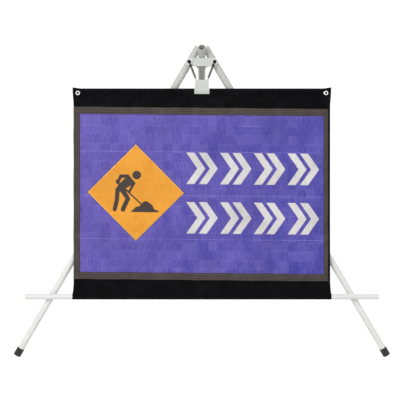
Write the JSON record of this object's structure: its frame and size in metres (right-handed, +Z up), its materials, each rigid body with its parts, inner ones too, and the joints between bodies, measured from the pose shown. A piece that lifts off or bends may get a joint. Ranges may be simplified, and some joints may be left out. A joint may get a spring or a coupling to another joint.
{
  "type": "roll-up road sign",
  "caption": "Folding tripod with telescopic legs carrying a spring-hung roll-up road works sign of blue reflective sheet on black canvas.",
  "frame": {"origin": "on the ground, in the middle of the stand's bounding box", "axes": "+X along the sign to the reader's right, +Y away from the reader, +Z up"},
  "size_m": [1.3208, 1.1491, 1.03],
  "materials": {
    "white_enamel": "gloss",
    "black_oxide": "satin",
    "zinc_steel": "satin",
    "nylon": "matte",
    "knob_plastic": "matte",
    "foot_rubber": "matte",
    "spring_steel": "satin",
    "black_canvas": "matte",
    "blue_sheet": "gloss",
    "binding_tape": "satin",
    "orange_film": "gloss",
    "black_film": "satin",
    "silver_film": "gloss",
    "eyelet_metal": "gloss"
  },
  "bodies": {
    "hub": {"hub_plate": "white_enamel", "rear_bracket": "white_enamel", "leg_bolts": "black_oxide", "front_washers": "zinc_steel", "leg_spacers": "nylon", "back_washers": "zinc_steel", "leg_nuts": "zinc_steel", "rear_bolt": "black_oxide", "rear_nut": "zinc_steel"},
    "left_leg": {"left_upper_tube": "white_enamel", "left_collar": "white_enamel"},
    "left_knob_body": {"left_knob": "knob_plastic"},
    "left_lower_leg": {"left_lower_tube": "white_enamel", "left_foot": "foot_rubber"},
    "right_leg": {"right_upper_tube": "white_enamel", "right_collar": "white_enamel"},
    "right_knob_body": {"right_knob": "knob_plastic"},
    "right_lower_leg": {"right_lower_tube": "white_enamel", "right_foot": "foot_rubber"},
    "rear_leg": {"rear_upper_tube": "white_enamel", "rear_collar": "white_enamel"},
    "rear_knob_body": {"rear_knob": "knob_plastic"},
    "rear_lower_leg": {"rear_lower_tube": "white_enamel", "rear_foot": "foot_rubber"},
    "hanger": {"left_spring": "spring_steel", "right_spring": "spring_steel"},
    "sign": {"hanger_clip": "white_enamel", "top_rail": "white_enamel", "top_band": "black_canvas", "bottom_band": "black_canvas", "reflective_panel": "blue_sheet", "top_binding": "binding_tape", "bottom_binding": "binding_tape", "left_binding": "binding_tape", "right_binding": "binding_tape", "warning_diamond": "orange_film", "work_symbol": "black_film", "panel_marks": "silver_film", "left_eyelet": "eyelet_metal", "right_eyelet": "eyelet_metal"},
    "bottom_rail_body": {"bottom_rail": "white_enamel"}
  },
  "joints": [
    {"name": "left_fold", "type": "hinge", "parent": "hub", "child": "left_leg", "pos_m": [-0.0445, -0.19435, 0.96507], "axis": [0, -0.9336, 0.3584], "range_deg": [0, 31.5]},
    {"name": "right_fold", "type": "hinge", "parent": "hub", "child": "right_leg", "pos_m": [0.0445, -0.19435, 0.96507], "axis": [0, 0.9336, -0.3584], "range_deg": [0, 31.5]},
    {"name": "rear_fold", "type": "hinge", "parent": "hub", "child": "rear_leg", "pos_m": [0, -0.15912, 0.9494], "axis": [-1, 0, 0], "range_deg": [0, 50.51]},
    {"name": "left_telescope", "type": "slide", "parent": "left_leg", "child": "left_lower_leg", "axis": [0.5075, 0.3088, 0.8044], "range_m": [0, 0.44]},
    {"name": "left_knob_turn", "type": "hinge", "parent": "left_leg", "child": "left_knob_body", "pos_m": [-0.3404, -0.37437, 0.4961], "axis": [0, 0.9336, -0.3584], "range_deg": [0, 720]},
    {"name": "right_telescope", "type": "slide", "parent": "right_leg", "child": "right_lower_leg", "axis": [-0.5075, 0.3088, 0.8044], "range_m": [0, 0.44]},
    {"name": "right_knob_turn", "type": "hinge", "parent": "right_leg", "child": "right_knob_body", "pos_m": [0.3404, -0.37437, 0.4961], "axis": [0, 0.9336, -0.3584], "range_deg": [0, 720]},
    {"name": "rear_telescope", "type": "slide", "parent": "rear_leg", "child": "rear_lower_leg", "axis": [0, -0.6088, 0.7934], "range_m": [0, 0.44]},
    {"name": "rear_knob_turn", "type": "hinge", "parent": "rear_leg", "child": "rear_knob_body", "pos_m": [0, 0.19579, 0.48688], "axis": [0, 0.7934, 0.6088], "range_deg": [0, 720]},
    {"name": "sign_swing", "type": "hinge", "parent": "hub", "child": "hanger", "pos_m": [0, -0.21236, 0.97198], "axis": [-1, 0, 0], "range_deg": [0, 75]},
    {"name": "spring_stretch", "type": "slide", "parent": "hanger", "child": "sign", "axis": [0, -0.3584, -0.9336], "range_m": [0, 0.02], "stiffness_N_per_m": 1400, "springref_m": -0.025, "deforming": ["left_spring", "right_spring"]},
    {"name": "bottom_rail_slide", "type": "slide", "parent": "sign", "child": "bottom_rail_body", "axis": [1, 0, 0], "range_m": [-0.16, 0.16]}
  ],
  "couplings": [
    {"joint": "right_fold", "follows": "left_fold", "ratio": 1},
    {"joint": "rear_fold", "follows": "left_fold", "ratio": 1.6032}
  ]
}
